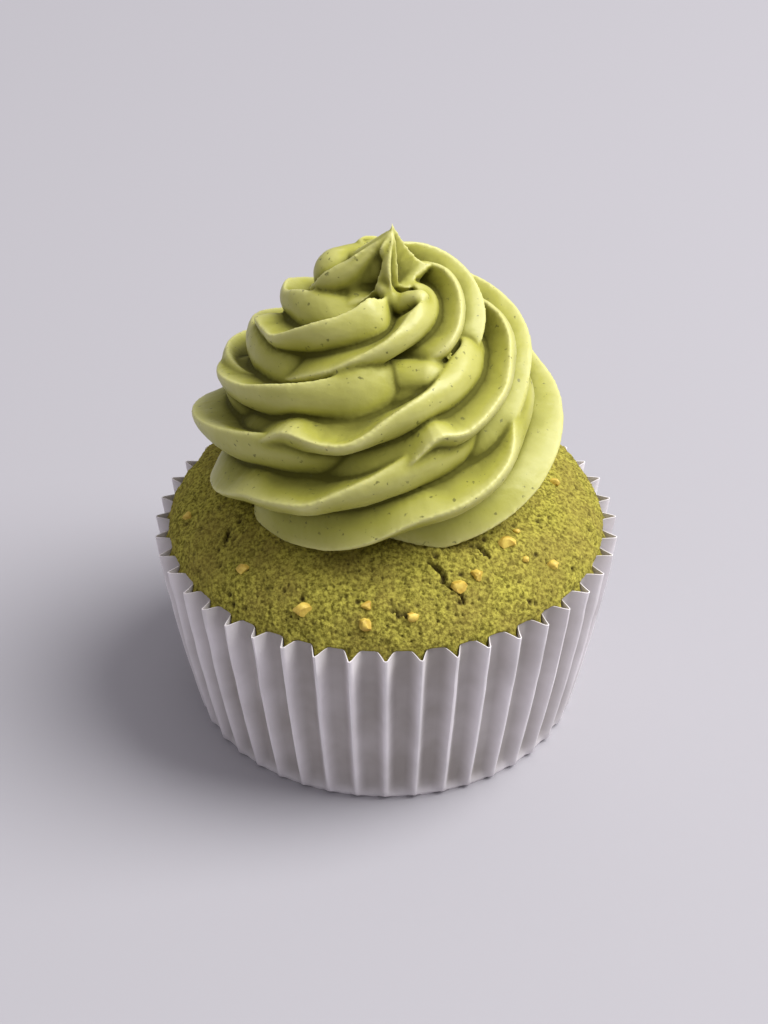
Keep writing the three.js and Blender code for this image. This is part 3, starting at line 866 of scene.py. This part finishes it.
merged = swirl.modifiers.new("one_skin", "REMESH")
merged.mode = "VOXEL"
merged.voxel_size = skin_step
cut = swirl.modifiers.new("seat", "BOOLEAN")
cut.operation = "DIFFERENCE"
cut.solver = "MANIFOLD"
cut.object = seat_tool
evened = swirl.modifiers.new("evened", "SMOOTH")
evened.factor = smoothing_pull
evened.iterations = skin_smoothing
thinned = swirl.modifiers.new("thinned", "DECIMATE")
thinned.ratio = skin_share
shaped = bpy.data.meshes.new_from_object(swirl.evaluated_get(bpy.context.evaluated_depsgraph_get()))
bpy.data.objects.remove(swirl)
bpy.data.objects.remove(seat_tool)
icing_mesh = bmesh.new()
icing_mesh.from_mesh(shaped)
bpy.data.meshes.remove(shaped)
keep_largest(icing_mesh)

even = icing_mesh.copy()
for smoothing in range(hollow_smoothing):
    bmesh.ops.smooth_vert(
        even, verts=even.verts, factor=smoothing_pull, use_axis_x=True, use_axis_y=True, use_axis_z=True
    )
# Painted shade and light: each point keeps how far it lies in or out from the evened skin
icing_shade_layer = icing_mesh.verts.layers.float.new("hollow")
icing_mesh.normal_update()
for point, level in zip(icing_mesh.verts, even.verts):
    point[icing_shade_layer] = 0.5 - (point.co - level.co).dot(point.normal) / hollow_range
even.free()
for point in icing_mesh.verts:
    point.co += point.normal * relief(point.co, skin_waves)
in_metres(icing_mesh)

icing, icing_shader, icing_tree = principled("buttercream", icing_green, icing_roughness)
icing_shader.inputs["Specular IOR Level"].default_value = icing_specular
icing_shader.inputs["Subsurface Weight"].default_value = glow_share
icing_shader.inputs["Subsurface Radius"].default_value = glow_reach
icing_shader.inputs["Subsurface Scale"].default_value = glow_depth * millimetre
icing_depth = measured(icing_tree, "hollow")
# Painted shade in the hollows and painted light along the crests
icing_colour = ramp(icing_tree, icing_depth, icing_shade_tones)
icing_specks = mottled(icing_tree, 0.9, 2, 0.5, span=(0.67, 0.73), shares=(0, 0.7))
icing_colour = tinted(icing_tree, icing_specks, icing_colour, speck_green)
icing_tree.links.new(icing_colour, icing_shader.inputs["Base Color"])
icing_gloss = icing_tree.nodes.new("ShaderNodeMapRange")
icing_gloss.inputs["From Min"].default_value = gloss_loss[0]
icing_gloss.inputs["From Max"].default_value = gloss_loss[1]
icing_gloss.inputs["To Min"].default_value = icing_roughness
icing_gloss.inputs["To Max"].default_value = hollow_roughness
icing_tree.links.new(icing_depth, icing_gloss.inputs["Value"])
icing_tree.links.new(icing_gloss.outputs["Result"], icing_shader.inputs["Roughness"])
grained(icing_tree, icing_shader, size=0.8, detail=3, rough=0.5, strength=0.4, height=0.1)

icing_piece = finished_piece(icing_mesh, "buttercream_swirl", icing)
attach(icing_piece, "root")
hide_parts("icing_swirl")

# Camera
# A long lens a little under half a metre away, looking down at the cake by thirty-five degrees.
camera_place = (-0.00026, -0.3307, 0.2619)
camera_tilt = 54.94
camera_lens = 101.5
camera_sensor = 36
camera_near = 0.01
camera = bpy.data.cameras.new("camera")
camera.lens = camera_lens
camera.sensor_width = camera_sensor
camera.clip_start = camera_near
camera_object = bpy.data.objects.new("camera", camera)
camera_object.location = camera_place
camera_object.rotation_euler = (math.radians(camera_tilt), 0, 0)
bpy.context.scene.collection.objects.link(camera_object)
bpy.context.scene.camera = camera_object
